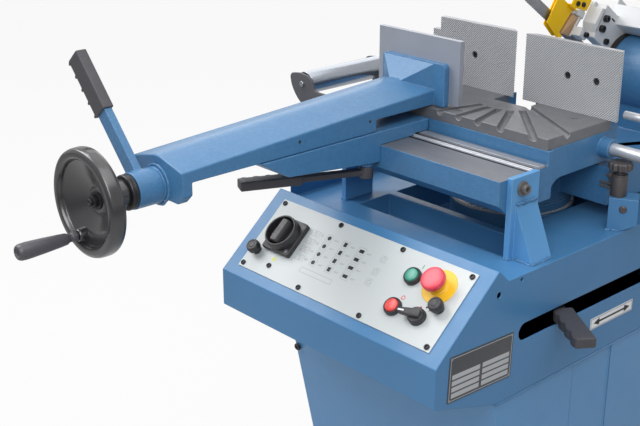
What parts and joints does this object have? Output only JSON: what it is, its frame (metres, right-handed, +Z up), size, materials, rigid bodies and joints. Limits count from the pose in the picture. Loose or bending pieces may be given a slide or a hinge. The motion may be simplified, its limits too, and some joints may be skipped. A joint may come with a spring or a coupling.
{
  "type": "mitre band saw",
  "caption": "Mitre band saw with a swivelling, hinged saw bow, a hand-wheel vise with a quick clamp lever, a slotted table, a control panel and a sheet-metal stand.",
  "frame": {"origin": "on the floor below the mitre pivot, centre of the four anchor holes", "axes": "+X to the right along the jaws, +Y from the vise handwheel to the back, +Z up"},
  "size_m": [0.887, 1.5194, 1.5226],
  "materials": {
    "blue_paint": "satin, fine texture",
    "white_paint": "satin",
    "grey_sheet": "satin",
    "panel_face": "matt printed sheet",
    "black_steel": "black oxide",
    "bezel_chrome": "polished",
    "yellow_plastic": "matt",
    "black_plastic": "matt",
    "green_plastic": "gloss",
    "red_plastic": "gloss",
    "estop_red": "gloss",
    "dark_cast_iron": "milled",
    "jaw_steel": "knurled",
    "chrome_bar": "ground",
    "scale_metal": "engraved",
    "steel": "turned",
    "motor_grey": "satin",
    "blade_steel": "rolled",
    "guide_brass": "machined",
    "yellow_paint": "gloss"
  },
  "bodies": {
    "stand": {"lower_stand": "blue_paint", "upper_housing": "blue_paint", "coolant_tank": "grey_sheet", "coolant_pump": "grey_sheet", "control_panel": "panel_face", "panel_screws": "black_steel", "switch_bezels": "bezel_chrome", "estop_collar": "yellow_plastic", "main_switch_base": "black_plastic", "table_posts": "blue_paint", "table_casting": "blue_paint", "table_plate": "dark_cast_iron", "fixed_jaws": "jaw_steel", "table_fasteners": "black_steel", "stop_rods": "chrome_bar", "index_stand": "blue_paint", "turntable_base": "blue_paint", "degree_ring": "scale_metal", "roller_frame": "black_steel"},
    "console": {"swivel_console": "blue_paint"},
    "bow": {"bow_frame": "white_paint", "hinge_pin": "steel", "hinge_spacers": "black_steel", "gearbox": "white_paint", "motor": "motor_grey", "blade": "blade_steel", "back_guide_holder": "white_paint", "back_guide_block": "guide_brass", "back_blade_guard": "yellow_paint", "wheel_cover": "white_paint", "bow_handle": "black_plastic"},
    "drive": {"drive_wheel": "dark_cast_iron", "drive_shaft": "steel"},
    "idler": {"idler_wheel": "dark_cast_iron"},
    "tension": {"tension_slide": "steel"},
    "tension_wheel": {"tension_handwheel": "black_plastic"},
    "front_guide": {"front_guide_arm": "white_paint", "front_guide_block": "guide_brass", "front_blade_guard": "yellow_paint"},
    "clamp": {"guide_clamp_knob": "black_plastic"},
    "main_switch": {"main_switch_dial": "black_plastic"},
    "panel_knob": {"left_knob": "black_plastic"},
    "start": {"start_button": "green_plastic"},
    "stop": {"stop_button": "red_plastic"},
    "estop": {"estop_button": "estop_red"},
    "selector": {"selector_knob": "black_plastic"},
    "speed": {"speed_knob": "black_plastic"},
    "mitre_lever": {"mitre_lock_lever": "black_plastic"},
    "roller": {"infeed_roller": "chrome_bar"},
    "index": {"index_knob": "black_plastic"},
    "length_stop": {"length_stop": "black_steel"},
    "bracket": {"vise_bracket": "blue_paint"},
    "vise_lever": {"vise_lock_lever": "black_plastic"},
    "vise": {"vise_arm": "blue_paint", "moving_jaw": "jaw_steel"},
    "screw": {"vise_screw": "black_steel", "handwheel": "black_plastic"},
    "handle": {"handwheel_handle": "black_plastic"},
    "quick_lever": {"quick_clamp_lever": "blue_paint", "lever_grip": "black_plastic"}
  },
  "joints": [
    {"name": "mitre_swivel", "type": "hinge", "parent": "stand", "child": "console", "pos_m": [0, 0, 0.746], "axis": [0, 0, 1], "range_deg": [0, 60]},
    {"name": "bow_pivot", "type": "hinge", "parent": "console", "child": "bow", "pos_m": [0.129, 0.257, 0.942], "axis": [-1, 0, 0], "range_deg": [-34.5, 5]},
    {"name": "drive_spin", "type": "hinge", "parent": "bow", "child": "drive", "pos_m": [0.08083, 0.4656, 0.91006], "axis": [0.766, -0.3641, -0.5297], "continuous": true},
    {"name": "tension_travel", "type": "slide", "parent": "bow", "child": "tension", "axis": [0, 0.8241, -0.5664], "range_m": [0, 0.01]},
    {"name": "idler_spin", "type": "hinge", "parent": "tension", "child": "idler", "pos_m": [0.08083, -0.1813, 1.35466], "axis": [0.766, -0.3641, -0.5297], "continuous": true},
    {"name": "tension_turn", "type": "hinge", "parent": "bow", "child": "tension_wheel", "pos_m": [0.10151, -0.35595, 1.45364], "axis": [0, 0.8241, -0.5664], "continuous": true},
    {"name": "front_guide_travel", "type": "slide", "parent": "bow", "child": "front_guide", "axis": [0, 0.8241, -0.5664], "range_m": [0, 0.11]},
    {"name": "guide_clamp_turn", "type": "hinge", "parent": "front_guide", "child": "clamp", "pos_m": [0.20848, -0.03875, 1.29027], "axis": [0.766, -0.3641, -0.5297], "range_deg": [-90, 90]},
    {"name": "main_switch_turn", "type": "hinge", "parent": "stand", "child": "main_switch", "pos_m": [-0.159, -0.4138, 0.73564], "axis": [0, -0.6549, 0.7557], "range_deg": [-90, 0]},
    {"name": "panel_knob_turn", "type": "hinge", "parent": "stand", "child": "panel_knob", "pos_m": [-0.202, -0.43823, 0.70123], "axis": [0, -0.6549, 0.7557], "range_deg": [-135, 135]},
    {"name": "start_press", "type": "slide", "parent": "stand", "child": "start", "axis": [0, 0.6549, -0.7557], "range_m": [0, 0.003], "stiffness_N_per_m": 600},
    {"name": "stop_press", "type": "slide", "parent": "stand", "child": "stop", "axis": [0, 0.6549, -0.7557], "range_m": [0, 0.003], "stiffness_N_per_m": 600},
    {"name": "estop_press", "type": "slide", "parent": "stand", "child": "estop", "axis": [0, 0.6549, -0.7557], "range_m": [0, 0.004], "stiffness_N_per_m": 1200},
    {"name": "selector_turn", "type": "hinge", "parent": "stand", "child": "selector", "pos_m": [0.17, -0.43239, 0.70365], "axis": [0, -0.6549, 0.7557], "range_deg": [-60, 30]},
    {"name": "speed_turn", "type": "hinge", "parent": "stand", "child": "speed", "pos_m": [0.196, -0.4148, 0.72154], "axis": [0, -0.6549, 0.7557], "range_deg": [-135, 135]},
    {"name": "mitre_lever_turn", "type": "hinge", "parent": "stand", "child": "mitre_lever", "pos_m": [0, 0, 0.6515], "axis": [0, 0, 1], "range_deg": [-8, 44]},
    {"name": "roller_spin", "type": "hinge", "parent": "stand", "child": "roller", "pos_m": [-0.395, -0.052, 0.904], "axis": [0, 1, 0], "continuous": true},
    {"name": "index_turn", "type": "hinge", "parent": "stand", "child": "index", "pos_m": [0.229, -0.012, 0.86], "axis": [0, 0, 1], "range_deg": [-90, 90]},
    {"name": "length_stop_travel", "type": "slide", "parent": "stand", "child": "length_stop", "axis": [1, 0, 0], "range_m": [-0.12, 0.05]},
    {"name": "vise_cross_travel", "type": "slide", "parent": "stand", "child": "bracket", "axis": [1, 0, 0], "range_m": [-0.02, 0.24]},
    {"name": "vise_lock_turn", "type": "hinge", "parent": "bracket", "child": "vise_lever", "pos_m": [-0.08, -0.294, 0.837], "axis": [0, 0, 1], "range_deg": [-20, 25]},
    {"name": "vise_travel", "type": "slide", "parent": "bracket", "child": "vise", "axis": [0, 1, 0], "range_m": [-0.05, 0.115]},
    {"name": "screw_turn", "type": "hinge", "parent": "vise", "child": "screw", "pos_m": [-0.129, -0.7, 0.894], "axis": [0, 1, 0], "continuous": true},
    {"name": "handle_spin", "type": "hinge", "parent": "screw", "child": "handle", "pos_m": [-0.14979, -0.86, 0.83985], "axis": [0, 1, 0], "continuous": true},
    {"name": "quick_lever_turn", "type": "hinge", "parent": "vise", "child": "quick_lever", "pos_m": [-0.129, -0.708, 0.894], "axis": [0, 1, 0], "range_deg": [-40, 60]}
  ],
  "couplings": [
    {"joint": "idler_spin", "follows": "drive_spin", "ratio": 1},
    {"joint": "tension_turn", "follows": "tension_travel", "rad_per_m": 2094.4},
    {"joint": "screw_turn", "follows": "vise_travel", "rad_per_m": 1256.6}
  ]
}
